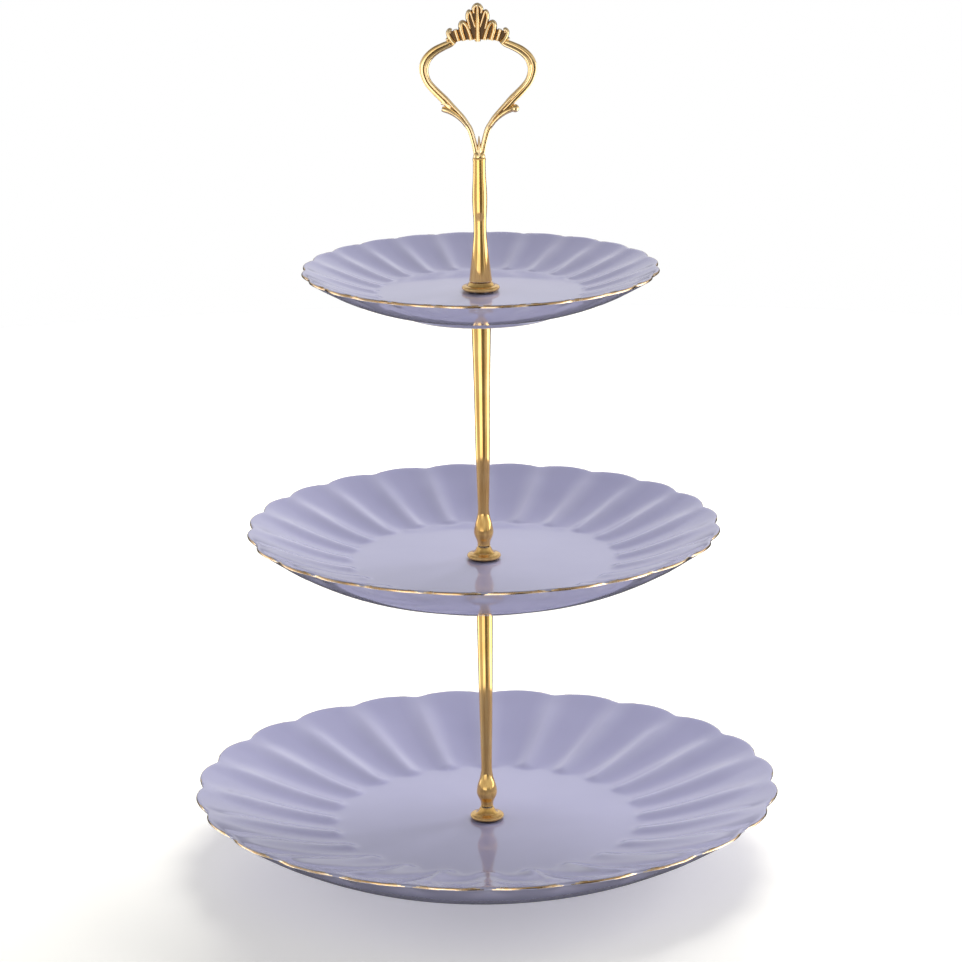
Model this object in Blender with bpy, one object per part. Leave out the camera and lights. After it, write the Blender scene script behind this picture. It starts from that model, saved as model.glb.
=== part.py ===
"""Three-tier cake stand: scalloped ceramic plates on a turned, screwed-together metal column with a crowned loop handle.

Metres, +Z up. The origin is the centre of the bottom plate's foot, on the surface that the stand rests on,
and every turned piece shares the Z axis. The lobes of the plates meet in notches on the +X and +Y axes.
"""

import math

import bmesh
import bpy
from mathutils import Vector

MM = 0.001

# Fit of one piece to the next, all round.
GAP = 0.3 * MM

# Thread: M4, cut in the foot of each rod and standing out of the top of the one below.
THREAD_PITCH = 0.7 * MM
THREAD_ENGAGEMENT = 7.5 * MM
STUD_RADIUS = 1.9 * MM
BORE_RADIUS = STUD_RADIUS + GAP
BORE_DEPTH = 10.5 * MM
STUD_SOCKET_DEPTH = 12.0 * MM

# Plates: 10, 8 and 6 inch. Heights are above each plate's own foot.
LOBES = 24
STEPS_PER_LOBE = 6
PLATE_HOLE_RADIUS = 3.2 * MM
PLATES = {
    "bottom_plate": dict(
        foot_z=0.0, radius=127.5 * MM, height=31.3 * MM, foot_radius=62.0 * MM, foot_depth=9.0 * MM,
        well_radius=62.0 * MM, well_thickness=5.0 * MM, notch_in=3.0 * MM, notch_down=2.3 * MM, ridge=1.4 * MM,
    ),
    "middle_plate": dict(
        foot_z=121.7 * MM, radius=102.0 * MM, height=27.1 * MM, foot_radius=48.0 * MM, foot_depth=7.0 * MM,
        well_radius=54.0 * MM, well_thickness=4.3 * MM, notch_in=2.4 * MM, notch_down=1.8 * MM, ridge=1.1 * MM,
    ),
    "top_plate": dict(
        foot_z=242.1 * MM, radius=76.0 * MM, height=19.5 * MM, foot_radius=34.0 * MM, foot_depth=4.9 * MM,
        well_radius=42.0 * MM, well_thickness=4.0 * MM, notch_in=1.8 * MM, notch_down=1.3 * MM, ridge=0.8 * MM,
    ),
}
FOOT_RING_WIDTH = 2.6 * MM
FOOT_RISE = 2.6 * MM
RIM_THICKNESS = 1.8 * MM
OUTER_RISE = 1.65
INNER_RISE = 1.7

# Soft clear pads either side of each plate.
PAD_THICKNESS = 0.8 * MM
LOWER_PAD_RADIUS = 5.0 * MM
BASE_PAD_RADIUS = 8.5 * MM
UPPER_PAD_RADIUS = 5.2 * MM

# Rosettes: the flared discs that each rod stands on. A recess below holds the upper pad.
ROSETTE_HEIGHT = 5.1 * MM
ROSETTE_RECESS = PAD_THICKNESS + GAP

# Screw and washer under the bottom plate.
WASHER_RADIUS = 8.5 * MM
WASHER_THICKNESS = 1.2 * MM
SCREW_HEAD_RADIUS = 5.6 * MM
SCREW_HEAD_HEIGHT = 2.2 * MM

# Rods and stem: (share of the piece's length from its foot, radius in mm).
LOWER_ROD = [
    (0.0, 2.95), (0.010, 2.7), (0.030, 2.95), (0.062, 4.15), (0.095, 3.6), (0.125, 2.65),
    (0.160, 2.1), (0.235, 2.3), (0.375, 2.7), (0.495, 2.95), (0.710, 3.3), (0.810, 3.45), (1.0, 3.65),
]
UPPER_ROD = [
    (0.0, 2.95), (0.010, 2.75), (0.030, 3.0), (0.058, 3.9), (0.090, 3.35), (0.120, 2.6),
    (0.150, 2.25), (0.225, 2.5), (0.395, 3.15), (0.648, 3.45), (0.892, 4.1), (1.0, 4.3),
]
STEM = [
    (0.0, 4.65), (0.055, 4.5), (0.125, 3.95), (0.280, 3.05), (0.430, 2.7), (0.545, 3.0),
    (0.655, 3.2), (0.770, 2.85), (0.885, 2.3), (0.955, 2.3), (0.965, 2.55), (1.0, 2.55),
]
STEM_LENGTH = 52.9 * MM

# Handle casting: a tenon in the stem, two strands round the finger loop and a leaf crown.
TENON_RADIUS = 1.2 * MM
TENON_LENGTH = 5.5 * MM
TENON_SOCKET_DEPTH = 6.2 * MM
BOSS_RADIUS = 2.3 * MM
BOSS_HEIGHT = 2.6 * MM
STRAND_DEPTH = 4.2 * MM
CROWN_DEPTH = 3.0 * MM
# The strand's centre line above the stem: (out, up, width), in mm.
STRAND = [
    (1.15, 1.4, 2.1), (1.7, 5.0, 1.9), (2.9, 10.0, 1.8), (5.3, 14.9, 2.0), (8.9, 19.1, 2.4), (13.0, 23.3, 3.0),
    (17.0, 27.6, 3.1), (20.7, 31.9, 3.3), (22.4, 35.6, 3.5), (22.5, 38.9, 3.5), (20.9, 42.1, 3.2),
    (17.9, 44.8, 3.0), (14.6, 46.7, 2.7), (11.8, 47.8, 2.5), (10.0, 49.0, 2.3),
]
# The side leaf's centre line: (out, up, width), in mm.
SIDE_LEAF = [(8.3, 18.1, 1.4), (11.3, 20.3, 1.9), (13.6, 20.9, 2.2), (15.9, 21.0, 1.5)]
# Outline of half of the crown: (out, up) above the stem, in mm.
CROWN = [
    (0.0, 64.7), (1.0, 64.1), (1.5, 62.4), (3.0, 61.8), (3.7, 60.3), (4.1, 57.9), (5.3, 57.6), (6.9, 57.4),
    (7.6, 56.2), (7.7, 54.2), (9.0, 54.1), (9.8, 52.8), (10.7, 53.5), (11.9, 53.5), (12.4, 52.4), (12.0, 51.0),
    (11.0, 50.2), (11.1, 48.6), (9.6, 47.7), (7.3, 48.4), (4.0, 49.0), (0.0, 49.2),
]

RING_STEPS = 20
ROD_STEPS = 18
STUD_STEPS = 12

MATERIALS = {
    "glazed_ceramic": ((0.42, 0.40, 0.60), 0.12, 0.0),
    "polished_gold": ((0.83, 0.58, 0.22), 0.14, 1.0),
    "bright_steel": ((0.62, 0.63, 0.65), 0.28, 1.0),
    "clear_pad": ((0.82, 0.84, 0.86), 0.35, 0.0),
}


def clear_scene():
    for obj in list(bpy.data.objects):
        bpy.data.objects.remove(obj, do_unlink=True)


def make_material(name):
    colour, roughness, metallic = MATERIALS[name]
    material = bpy.data.materials.new(name)
    material.use_nodes = True
    shader = material.node_tree.nodes["Principled BSDF"]
    shader.inputs["Base Color"].default_value = (*colour, 1.0)
    shader.inputs["Roughness"].default_value = roughness
    shader.inputs["Metallic"].default_value = metallic
    material.diffuse_color = (*colour, 1.0)
    return material


def make_body(name, parent=None):
    """An empty on the column's axis, which the pieces of one moving body hang from."""
    empty = bpy.data.objects.new(name, None)
    bpy.context.scene.collection.objects.link(empty)
    empty.parent = parent
    return empty


def add_object(name, mesh_builder, material, parent, height=0.0):
    """Turns a bmesh into an object whose origin is on the Z axis at the given height."""
    mesh_builder.normal_update()
    mesh = bpy.data.meshes.new(name)
    mesh_builder.to_mesh(mesh)
    mesh_builder.free()
    mesh.materials.append(material)
    mesh.shade_smooth()
    mesh.set_sharp_from_angle(angle=math.radians(35))
    obj = bpy.data.objects.new(name, mesh)
    bpy.context.scene.collection.objects.link(obj)
    obj.parent = parent
    obj.location = (0.0, 0.0, height)
    return obj


def revolve(outline, steps):
    """A solid turned from a closed outline of (radius, height) points round the Z axis."""
    bm = bmesh.new()
    corners = [bm.verts.new((radius, 0.0, height)) for radius, height in outline]
    edges = [bm.edges.new(pair) for pair in zip(corners, corners[1:] + corners[:1])]
    bmesh.ops.spin(
        bm, geom=corners + edges, cent=(0, 0, 0), axis=(0, 0, 1), angle=math.tau, steps=steps, use_merge=False
    )
    bmesh.ops.remove_doubles(bm, verts=bm.verts, dist=1e-6)
    on_axis = [edge for edge in bm.edges if all(vert.co.xy.length < 1e-7 for vert in edge.verts)]
    bmesh.ops.delete(bm, geom=on_axis, context="EDGES")
    bmesh.ops.recalc_face_normals(bm, faces=bm.faces)
    return bm


def ring(inner, outer, thickness):
    return [(inner, 0.0), (outer, 0.0), (outer, thickness), (inner, thickness)]


def lobe_drop(angle):
    """0 in the middle of a lobe and 1 in the notch between two lobes, along a parabola."""
    lobe = math.tau / LOBES
    across = (angle % lobe) / lobe * 2.0 - 1.0
    return across * across


def shaped_point(plate, radius, height, inside, angle):
    """A point of the plate's turned surface, moved by the notches of the rim and the ridges of the wall."""
    start = plate["well_radius"]
    share = max(0.0, (radius - start) / (plate["radius"] - start))
    drop = lobe_drop(angle)
    radius -= plate["notch_in"] * share**3 * drop
    height -= plate["notch_down"] * share**3 * drop
    if inside:
        height += plate["ridge"] * math.sin(math.pi * min(1.0, share)) * drop**3
    return Vector((radius * math.cos(angle), radius * math.sin(angle), height))


def plate_outline(plate):
    """Closed outline of (radius, height, inside) from the hole's lower edge, out under the plate and back in."""
    foot, reach, start = plate["foot_radius"], plate["radius"], plate["well_radius"]
    under = plate["foot_depth"]
    well = under + plate["well_thickness"]
    rim_under = plate["height"] - RIM_THICKNESS
    points = [
        (PLATE_HOLE_RADIUS, under, False),
        (foot - 2.2 * FOOT_RING_WIDTH, under, False),
        (foot - FOOT_RING_WIDTH, 0.6 * MM, False),
        (foot - 0.7 * FOOT_RING_WIDTH, 0.0, False),
        (foot, 0.0, False),
    ]
    bend = foot + 0.5 * FOOT_RISE
    for share in (0.0, 0.3, 0.55, 0.8, 0.985):
        points.append((bend + (reach - bend) * share, FOOT_RISE + (rim_under - FOOT_RISE) * share**OUTER_RISE, False))
    points.append((reach, plate["height"] - 0.5 * RIM_THICKNESS, False))
    points.append((reach - 0.8 * MM, plate["height"], True))
    for share in (0.86, 0.62, 0.38, 0.16, 0.0):
        points.append((start + (reach - start) * share, well + (plate["height"] - well) * share**INNER_RISE, True))
    points.append((PLATE_HOLE_RADIUS, well, True))
    return points


def build_plate(name, material, parent):
    plate = PLATES[name]
    outline = plate_outline(plate)
    steps = LOBES * STEPS_PER_LOBE
    bm = bmesh.new()
    rings = []
    for step in range(steps):
        angle = math.tau * step / steps
        rings.append([bm.verts.new(shaped_point(plate, *point, angle)) for point in outline])
    for here, there in zip(rings, rings[1:] + rings[:1]):
        for low in range(len(outline)):
            high = (low + 1) % len(outline)
            bm.faces.new((here[low], there[low], there[high], here[high]))
    bmesh.ops.recalc_face_normals(bm, faces=bm.faces)
    return add_object(name, bm, material, parent, plate["foot_z"])


def well_top(name):
    plate = PLATES[name]
    return plate["foot_z"] + plate["foot_depth"] + plate["well_thickness"]


def well_under(name):
    return PLATES[name]["foot_z"] + PLATES[name]["foot_depth"]


def rosette_outline(radius, neck):
    """A flared disc with a rounded edge, a recess below for the pad and a clearance hole."""
    recess_radius = UPPER_PAD_RADIUS + GAP
    height = ROSETTE_HEIGHT
    edge = 0.85 * MM
    points = [(BORE_RADIUS, ROSETTE_RECESS), (recess_radius, ROSETTE_RECESS), (recess_radius, 0.0)]
    for turn in range(-90, 91, 45):
        lean = math.radians(turn)
        points.append((radius - edge + edge * math.cos(lean), edge + edge * math.sin(lean)))
    for share in (0.30, 0.55, 0.80, 1.0):
        points.append((radius - edge - (radius - edge - neck) * share, 2 * edge + (height - 2 * edge) * share**2.2))
    points.append((BORE_RADIUS, height))
    return points


def rod_outline(stations, length, socket_depth, socket_radius):
    """A turned rod with a threaded bore in its foot and a socket in its top."""
    points = [(radius * MM, share * length) for share, radius in stations]
    socket = [(socket_radius, length), (socket_radius, length - socket_depth), (0.0, length - socket_depth)]
    bore = [(0.0, BORE_DEPTH), (BORE_RADIUS, BORE_DEPTH), (BORE_RADIUS, 0.0)]
    return points + socket + bore


def stud_outline(length):
    tip = 0.4 * MM
    return [
        (0.0, 0.0), (STUD_RADIUS - tip, 0.0), (STUD_RADIUS, tip), (STUD_RADIUS, length - tip),
        (STUD_RADIUS - tip, length), (0.0, length),
    ]


def screw_outline(length):
    """A pan head, its driver recess opening downwards, and a shank of the given length above the head."""
    head, tall = SCREW_HEAD_RADIUS, SCREW_HEAD_HEIGHT
    tip, driver = 0.4 * MM, 1.3 * MM
    return [
        (0.0, 1.1 * MM), (driver, 1.1 * MM), (driver, 0.0), (0.62 * head, 0.0), (0.9 * head, 0.5 * MM),
        (head, 1.3 * MM), (head, tall), (STUD_RADIUS, tall), (STUD_RADIUS, tall + length - tip),
        (STUD_RADIUS - tip, tall + length), (0.0, tall + length),
    ]


def sweep(stations, depth, side):
    """A solid strand along (out, up, width) stations in the XZ plane, with chamfered edges and flat ends."""
    bm = bmesh.new()
    points = [Vector((side * out * MM, 0.0, up * MM)) for out, up, _ in stations]
    section = [(1, -0.5), (1, 0.5), (0.5, 1), (-0.5, 1), (-1, 0.5), (-1, -0.5), (-0.5, -1), (0.5, -1)]
    rings = []
    for index, (point, station) in enumerate(zip(points, stations)):
        along = points[min(index + 1, len(points) - 1)] - points[max(index - 1, 0)]
        across = along.normalized().cross(Vector((0, 1, 0)))
        half = station[2] * MM / 2
        rings.append([bm.verts.new(point + across * a * half + Vector((0, b * depth / 2, 0))) for a, b in section])
    for here, there in zip(rings, rings[1:]):
        for low in range(len(section)):
            high = (low + 1) % len(section)
            bm.faces.new((here[low], here[high], there[high], there[low]))
    bm.faces.new(rings[0])
    bm.faces.new(rings[-1])
    bmesh.ops.recalc_face_normals(bm, faces=bm.faces)
    return bm


def crown_solid():
    """The leaf crown's outline, mirrored and given its thickness."""
    half = [Vector((out * MM, -CROWN_DEPTH / 2, up * MM)) for out, up in CROWN]
    mirrored = [Vector((-point.x, point.y, point.z)) for point in reversed(half[1:-1])]
    bm = bmesh.new()
    face = bm.faces.new([bm.verts.new(point) for point in half + mirrored])
    pushed = bmesh.ops.extrude_face_region(bm, geom=[face])["geom"]
    moved = [item for item in pushed if isinstance(item, bmesh.types.BMVert)]
    bmesh.ops.translate(bm, verts=moved, vec=(0, CROWN_DEPTH, 0))
    bmesh.ops.recalc_face_normals(bm, faces=bm.faces)
    return bm


def join_with(target, bm, name, material):
    """Joins a hidden helper solid to the target with a Boolean union."""
    helper = add_object(name, bm, material, target.parent, target.location.z)
    helper.hide_render = True
    helper.display_type = "WIRE"
    union = target.modifiers.new(name, "BOOLEAN")
    union.operation = "UNION"
    union.solver = "EXACT"
    union.object = helper


def build_handle(material, parent, foot):
    """The cast handle. Its foot is the top of the stem, and the tenon goes down into the stem's socket."""
    lift = GAP
    outline = [
        (0.0, -TENON_LENGTH), (TENON_RADIUS, -TENON_LENGTH), (TENON_RADIUS, lift), (BOSS_RADIUS, lift),
        (BOSS_RADIUS, 0.6 * BOSS_HEIGHT), (0.75 * BOSS_RADIUS, BOSS_HEIGHT), (0.0, BOSS_HEIGHT),
    ]
    loop = add_object("handle_loop", revolve(outline, ROD_STEPS), material, parent, foot)
    for side, label in ((1, "right"), (-1, "left")):
        join_with(loop, sweep(STRAND, STRAND_DEPTH, side), label + "_strand_helper", material)
        join_with(loop, sweep(SIDE_LEAF, 0.8 * STRAND_DEPTH, side), label + "_leaf_helper", material)
    join_with(loop, crown_solid(), "crown_helper", material)
    return loop


def build_tier(plate_name, below, lower_pad_radius, materials, pad_parent, plate_parent):
    """The plate with the pads either side. Returns the height that the rosette rests at."""
    build_plate(plate_name, materials["glazed_ceramic"], plate_parent)
    lower = revolve(ring(BORE_RADIUS, lower_pad_radius, PAD_THICKNESS), RING_STEPS)
    add_object(plate_name + "_lower_pad", lower, materials["clear_pad"], pad_parent, below)
    upper = revolve(ring(BORE_RADIUS, UPPER_PAD_RADIUS, PAD_THICKNESS), RING_STEPS)
    top = well_top(plate_name)
    add_object(plate_name + "_upper_pad", upper, materials["clear_pad"], plate_parent, top + GAP)
    return top + 2 * GAP


def main():
    clear_scene()
    materials = {name: make_material(name) for name in MATERIALS}
    gold, steel = materials["polished_gold"], materials["bright_steel"]

    base = make_body("base")
    lower_turn = make_body("lower_rod_foot", base)
    lower = make_body("lower_column", lower_turn)
    middle_turn = make_body("middle_tier", lower)
    upper_foot = make_body("upper_rod_foot", lower)
    upper = make_body("upper_column", upper_foot)
    top_turn = make_body("top_tier", upper)
    handle_foot = make_body("handle_rod_foot", upper)
    handle = make_body("handle", handle_foot)

    # Base: plate, pads, washer and the screw that comes up through them.
    pad_foot = well_under("bottom_plate") - GAP - PAD_THICKNESS
    seat = build_tier("bottom_plate", pad_foot, BASE_PAD_RADIUS, materials, base, base)
    washer_foot = pad_foot - GAP - WASHER_THICKNESS
    add_object("base_washer", revolve(ring(BORE_RADIUS, WASHER_RADIUS, WASHER_THICKNESS), RING_STEPS), steel, base,
               washer_foot)
    head_foot = washer_foot - GAP - SCREW_HEAD_HEIGHT
    rod_foot = seat + ROSETTE_HEIGHT + GAP
    shank = rod_foot + THREAD_ENGAGEMENT - head_foot - SCREW_HEAD_HEIGHT
    add_object("base_screw", revolve(screw_outline(shank), ROD_STEPS), steel, base, head_foot)
    add_object("bottom_rosette", revolve(rosette_outline(7.5 * MM, 2.95 * MM), RING_STEPS), gold, lower_turn, seat)

    # Lower rod, up to the middle plate.
    pad_foot = well_under("middle_plate") - GAP - PAD_THICKNESS
    rod_top = pad_foot - GAP
    outline = rod_outline(LOWER_ROD, rod_top - rod_foot, STUD_SOCKET_DEPTH, BORE_RADIUS)
    add_object("lower_rod", revolve(outline, ROD_STEPS), gold, lower, rod_foot)
    seat = build_tier("middle_plate", pad_foot, LOWER_PAD_RADIUS, materials, lower, middle_turn)
    rod_foot = seat + ROSETTE_HEIGHT + GAP
    stud_foot = rod_top - STUD_SOCKET_DEPTH + GAP
    stud = revolve(stud_outline(rod_foot + THREAD_ENGAGEMENT - stud_foot), STUD_STEPS)
    add_object("lower_rod_stud", stud, steel, lower, stud_foot)
    add_object("middle_rosette", revolve(rosette_outline(7.4 * MM, 2.95 * MM), RING_STEPS), gold, upper_foot, seat)

    # Upper rod, up to the top plate.
    pad_foot = well_under("top_plate") - GAP - PAD_THICKNESS
    rod_top = pad_foot - GAP
    outline = rod_outline(UPPER_ROD, rod_top - rod_foot, STUD_SOCKET_DEPTH, BORE_RADIUS)
    add_object("upper_rod", revolve(outline, ROD_STEPS), gold, upper, rod_foot)
    seat = build_tier("top_plate", pad_foot, LOWER_PAD_RADIUS, materials, upper, top_turn)
    stem_foot = seat + ROSETTE_HEIGHT - 1.5 * MM + GAP
    stud_foot = rod_top - STUD_SOCKET_DEPTH + GAP
    stud = revolve(stud_outline(stem_foot + THREAD_ENGAGEMENT - stud_foot), STUD_STEPS)
    add_object("upper_rod_stud", stud, steel, upper, stud_foot)
    top_rosette = [(r, z if z <= 1.7 * MM else 1.7 * MM + (z - 1.7 * MM) * 1.9 / 3.4)
                   for r, z in rosette_outline(8.15 * MM, 4.9 * MM)]
    add_object("top_rosette", revolve(top_rosette, RING_STEPS), gold, handle_foot, seat)

    # Handle: stem and loop.
    outline = rod_outline(STEM, STEM_LENGTH, TENON_SOCKET_DEPTH, TENON_RADIUS + GAP)
    add_object("handle_stem", revolve(outline, ROD_STEPS), gold, handle, stem_foot)
    build_handle(gold, handle, stem_foot + STEM_LENGTH)
    print("stem top at %.1f mm, crown top at %.1f mm" % (
        (stem_foot + STEM_LENGTH) / MM, (stem_foot + STEM_LENGTH) / MM + CROWN[0][1]))


main()
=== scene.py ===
# %% [markdown]
# # A three-tier cake stand
# The stand is three scalloped ceramic plates on a turned column that screws together, with a cast loop
# handle on top. The plain solids of the design come in first as a fixed frame, and each visible piece is
# then modelled finely over its solid. Lengths are written in millimetres and turned into metres by one
# factor, because the pieces are small.

# %% Load the frame
import math

import bpy
import numpy as np
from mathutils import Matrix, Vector


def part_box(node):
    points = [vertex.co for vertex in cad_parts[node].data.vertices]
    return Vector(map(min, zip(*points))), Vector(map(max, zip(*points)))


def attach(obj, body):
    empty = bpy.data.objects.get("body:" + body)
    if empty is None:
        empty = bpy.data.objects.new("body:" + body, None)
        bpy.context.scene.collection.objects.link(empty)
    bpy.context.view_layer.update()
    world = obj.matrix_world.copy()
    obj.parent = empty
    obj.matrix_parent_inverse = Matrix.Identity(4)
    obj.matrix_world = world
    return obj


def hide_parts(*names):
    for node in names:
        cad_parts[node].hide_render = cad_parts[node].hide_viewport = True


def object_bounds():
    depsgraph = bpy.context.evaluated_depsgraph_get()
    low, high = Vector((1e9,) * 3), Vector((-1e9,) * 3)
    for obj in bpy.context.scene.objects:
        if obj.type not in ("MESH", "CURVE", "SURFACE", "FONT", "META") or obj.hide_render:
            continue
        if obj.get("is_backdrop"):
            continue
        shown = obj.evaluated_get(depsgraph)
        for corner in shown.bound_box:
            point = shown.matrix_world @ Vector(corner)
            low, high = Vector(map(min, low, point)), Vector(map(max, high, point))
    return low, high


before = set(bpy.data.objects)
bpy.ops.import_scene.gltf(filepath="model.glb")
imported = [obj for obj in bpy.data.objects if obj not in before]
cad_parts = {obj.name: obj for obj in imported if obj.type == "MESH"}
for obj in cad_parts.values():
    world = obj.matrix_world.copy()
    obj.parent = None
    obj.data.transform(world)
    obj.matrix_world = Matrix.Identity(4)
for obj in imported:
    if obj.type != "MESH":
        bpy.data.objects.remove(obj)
cad_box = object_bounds()
MM = 0.001
GAP = 0.3 * MM
CENTRE = (0.0, 0.0, 0.0)

# %% [markdown]
# ## Working by hand, in code
# An operator acts on whatever is selected, so every step starts with nothing selected. The helpers below
# do what a modeller does with the mouse: clear the selection, go into edit mode, pick points by where
# they are, and leave.

# %% Selection helpers


def deselect_all():
    if bpy.context.mode != "OBJECT":
        bpy.ops.object.mode_set(mode="OBJECT")
    bpy.ops.object.select_all(action="DESELECT")


def select_only(*pieces):
    deselect_all()
    for piece in pieces:
        piece.select_set(True)
    bpy.context.view_layer.objects.active = pieces[0]


def edit(piece, mode="VERT"):
    """Edit mode on one piece, with nothing of it picked."""
    select_only(piece)
    bpy.ops.object.mode_set(mode="EDIT")
    bpy.ops.mesh.select_mode(type=mode)
    bpy.ops.mesh.select_all(action="DESELECT")


def leave_edit():
    bpy.ops.object.mode_set(mode="OBJECT")


def named(name):
    """Names the newest primitive and applies its place, so that its object sits at the origin."""
    piece = bpy.context.active_object
    piece.name = name
    piece.data.name = name
    bpy.ops.object.transform_apply(location=True, rotation=True, scale=True)
    return piece


# %% [markdown]
# A modifier works on the whole mesh at once. It is added with its settings and applied straight away, so
# the mesh that comes out is what the next step works on. Smooth shading by angle keeps real edges crisp.

# %% Modifiers and shading


def apply_modifier(piece, kind, **settings):
    select_only(piece)
    modifier = piece.modifiers.new(kind.title(), kind)
    for setting, value in settings.items():
        setattr(modifier, setting, value)
    bpy.ops.object.modifier_apply(modifier=modifier.name)


def smooth_shade(piece, angle=40):
    select_only(piece)
    bpy.ops.object.shade_smooth_by_angle(angle=math.radians(angle))


# %% [markdown]
# The frame knows how the stand moves. A finished piece is told which body it rides on and which plain
# solids it stands for, and it is kept in a list for the finishes at the end.

# %% Put a piece in its place
pieces = {}


def put_in_place(piece, body, slot, *nodes):
    """The piece rides on its body and stands for its plain solids; its slot is not used."""
    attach(piece, body)
    if nodes:
        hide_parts(*nodes)
    pieces[piece.name] = piece
    print("%-26s %6d faces, on %s" % (piece.name, len(piece.data.polygons), body))


# %% [markdown]
# ## Turning on the lathe
# Every round piece is turned, so it is drawn as one ring that is extruded along its contour: each step
# copies the ring up or down and scales it to the next radius. Spin would do the same, but extruding keeps
# every ring where the contour says.

# %% Turn a contour


def turn(name, contour, segments=48, closed=False):
    """Turns a contour of (radius, height) in mm: closed, it makes a ring; open, its ends are filled."""
    deselect_all()
    radius, height = contour[0]
    bpy.ops.mesh.primitive_circle_add(vertices=segments, radius=radius * MM, location=(0, 0, height * MM))
    piece = named(name)
    edit(piece)
    bpy.ops.mesh.select_all(action="SELECT")
    if not closed:
        bpy.ops.mesh.edge_face_add()
        bpy.ops.mesh.select_all(action="DESELECT")
        bpy.ops.mesh.select_non_manifold()
    for (old, low), (new, high) in zip(contour, contour[1:]):
        bpy.ops.mesh.extrude_edges_move(TRANSFORM_OT_translate={"value": (0, 0, (high - low) * MM)})
        bpy.ops.transform.resize(value=(new / old, new / old, 1), center_override=CENTRE)
    if closed:
        bpy.ops.mesh.select_all(action="DESELECT")
        bpy.ops.mesh.select_non_manifold()
        bpy.ops.mesh.bridge_edge_loops()
    else:
        bpy.ops.mesh.edge_face_add()
    bpy.ops.mesh.select_all(action="SELECT")
    bpy.ops.mesh.normals_make_consistent(inside=False)
    leave_edit()
    return piece


# %% [markdown]
# ## The plates
# Each plate is thrown round and then pressed into petals. The contour runs from the hole out over the
# flat well, up the wall, round the rim and back underneath over the foot ring. The petals come after the
# turning: the rim is pulled in and down at the notches with proportional editing, whose sharp falloff
# leaves round lobes between cusps, and the ridges are lifted by a Displace modifier along weights that
# follow the notches.

# %% Plate sizes
LOBES = 24
RING_POINTS = 10 * LOBES
HOLE = 3.2
PLATES = {
    "bottom": dict(radius=127.3, well=67.0, foot=62.0, depth=9.0, notch_in=3.0, notch_down=2.3, ridge=2.5),
    "middle": dict(radius=101.8, well=57.5, foot=48.0, depth=7.0, notch_in=2.4, notch_down=1.8, ridge=1.9),
    "top": dict(radius=75.8, well=44.0, foot=34.0, depth=4.9, notch_in=1.6, notch_down=1.1, ridge=1.3),
}
BODIES = {"bottom": "base", "middle": "middle_tier", "top": "top_tier"}
WALL_RISE = 1.4
UNDER_RISE = 1.65
RIM = 1.7
for tier, plate in PLATES.items():
    low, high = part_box(tier + "_plate")
    pad_low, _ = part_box(tier + "_plate_upper_pad")
    plate["foot_z"] = low.z / MM
    plate["height"] = (high.z - low.z) / MM - 0.1
    plate["well_z"] = (pad_low.z - GAP - low.z) / MM
    print(tier, {key: round(value, 1) for key, value in plate.items()})


# %% [markdown]
# The contour is worked out from those sizes. The wall starts with a tight bend at the well and steepens
# outwards, the rim is a half round, and underneath the foot ring stands proud of the glazed wall by a
# small fillet.

# %% Plate contour
CHAMFER = 0.4
SEAT = 9.0
FILLET_TOP = 2.6
WALL_SHARES = [
    -0.08, -0.04, -0.01, 0.01, 0.035, 0.07, 0.12, 0.18, 0.27, 0.37, 0.47, 0.57, 0.67, 0.77, 0.86, 0.93, 0.975,
]
UNDER_SHARES = [0.97, 0.92, 0.84, 0.73, 0.6, 0.46, 0.32, 0.2, 0.1, 0.03]


def arc(radius, height, size, start, end, steps=4):
    """A rounded corner: the arc about (radius, height) from one angle to another, in degrees."""
    turns = [math.radians(start + (end - start) * step / steps) for step in range(steps + 1)]
    return [(radius + size * math.cos(turn), height + size * math.sin(turn)) for turn in turns]


def wall_share(radius, plate):
    """0 at the edge of the well and 1 at the rim."""
    return (radius - plate["well"]) / (plate["radius"] - plate["well"])


def wall_height(share, plate):
    rise = plate["height"] - plate["well_z"]
    return plate["well_z"] + rise * share**WALL_RISE


def upper_side(plate):
    """From the hole over the well and up the wall."""
    well, flat = plate["well"], plate["well_z"]
    side = [(HOLE, flat - CHAMFER), (HOLE + CHAMFER, flat)]
    side += [(radius, flat) for radius in (SEAT, 0.45 * well, 0.8 * well)]
    for share in WALL_SHARES:
        radius = well + (plate["radius"] - RIM / 2 - well) * share
        side.append((radius, wall_height(max(share, 0.0), plate)))
    return side


def lower_side(plate):
    """From under the rim down to the foot ring, round it and in to the hole."""
    foot, under = plate["foot"], plate["depth"]
    bend = foot + 1.6
    side = []
    for share in UNDER_SHARES:
        radius = bend + (plate["radius"] - RIM / 2 - bend) * share
        side.append((radius, FILLET_TOP + (plate["height"] - RIM - FILLET_TOP) * share**UNDER_RISE))
    side += [(foot + 0.9, 2.3), (foot + 0.35, 1.6), (foot, 0.5), (foot - 0.4, 0.0), (foot - 1.7, 0.0)]
    side += [(foot - 2.2, 0.5), (foot - 2.9, under - 1.6), (foot - 4.2, under - 0.3), (foot - 6.0, under)]
    return side + [(0.5 * foot, under), (SEAT, under), (HOLE + CHAMFER, under), (HOLE, under + CHAMFER)]


def plate_contour(plate):
    rim = arc(plate["radius"] - RIM / 2, plate["height"] - RIM / 2, RIM / 2, 75, -75, 5)
    whole = upper_side(plate) + rim + lower_side(plate)
    return [(radius, height + plate["foot_z"]) for radius, height in whole]


# %% [markdown]
# Petals. A lobe's middle lies half-way between two notches. The rim's points in the notches are scaled
# towards the axis and lowered together, and the points near them follow.

# %% Press the petals
LOBE = math.tau / LOBES


def pick_points(piece, wanted):
    """Edit mode on the piece, with the points picked for which wanted(place) is true."""
    edit(piece)
    leave_edit()
    for point in piece.data.vertices:
        point.select = wanted(point.co)
    bpy.ops.object.mode_set(mode="EDIT")


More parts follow.
